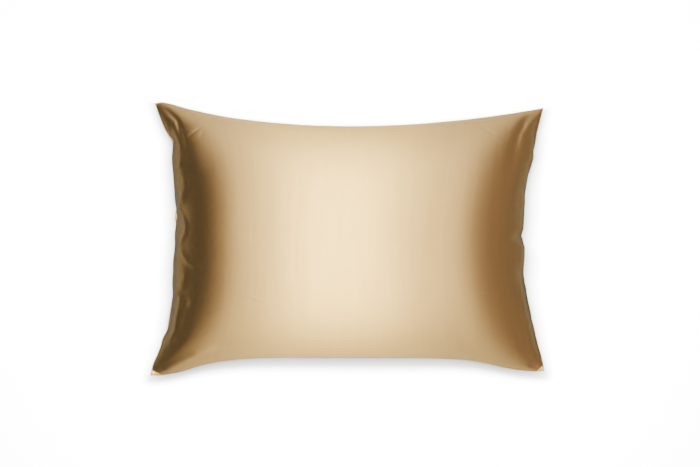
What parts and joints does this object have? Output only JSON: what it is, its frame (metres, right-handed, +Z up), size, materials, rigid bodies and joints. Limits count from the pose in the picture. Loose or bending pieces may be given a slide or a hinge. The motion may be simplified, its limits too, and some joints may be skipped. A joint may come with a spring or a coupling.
{
  "type": "filled pillowcase",
  "caption": "Satin pillowcase on a plump pillow, lying on its back, with a smooth crown, drawn-in sides, pointed corners and softly puckered short ends.",
  "frame": {"origin": "middle of the case's outline, at the level of the flat patch it rests on", "axes": "+X along the case from its sewn end to its open end, +Y across it, +Z up through its crowned front panel"},
  "size_m": [0.656, 0.4554, 0.2],
  "materials": {
    "champagne_satin": "glossy satin weave, champagne gold"
  },
  "bodies": {
    "root": {"filled_case": "champagne_satin"}
  },
  "joints": []
}
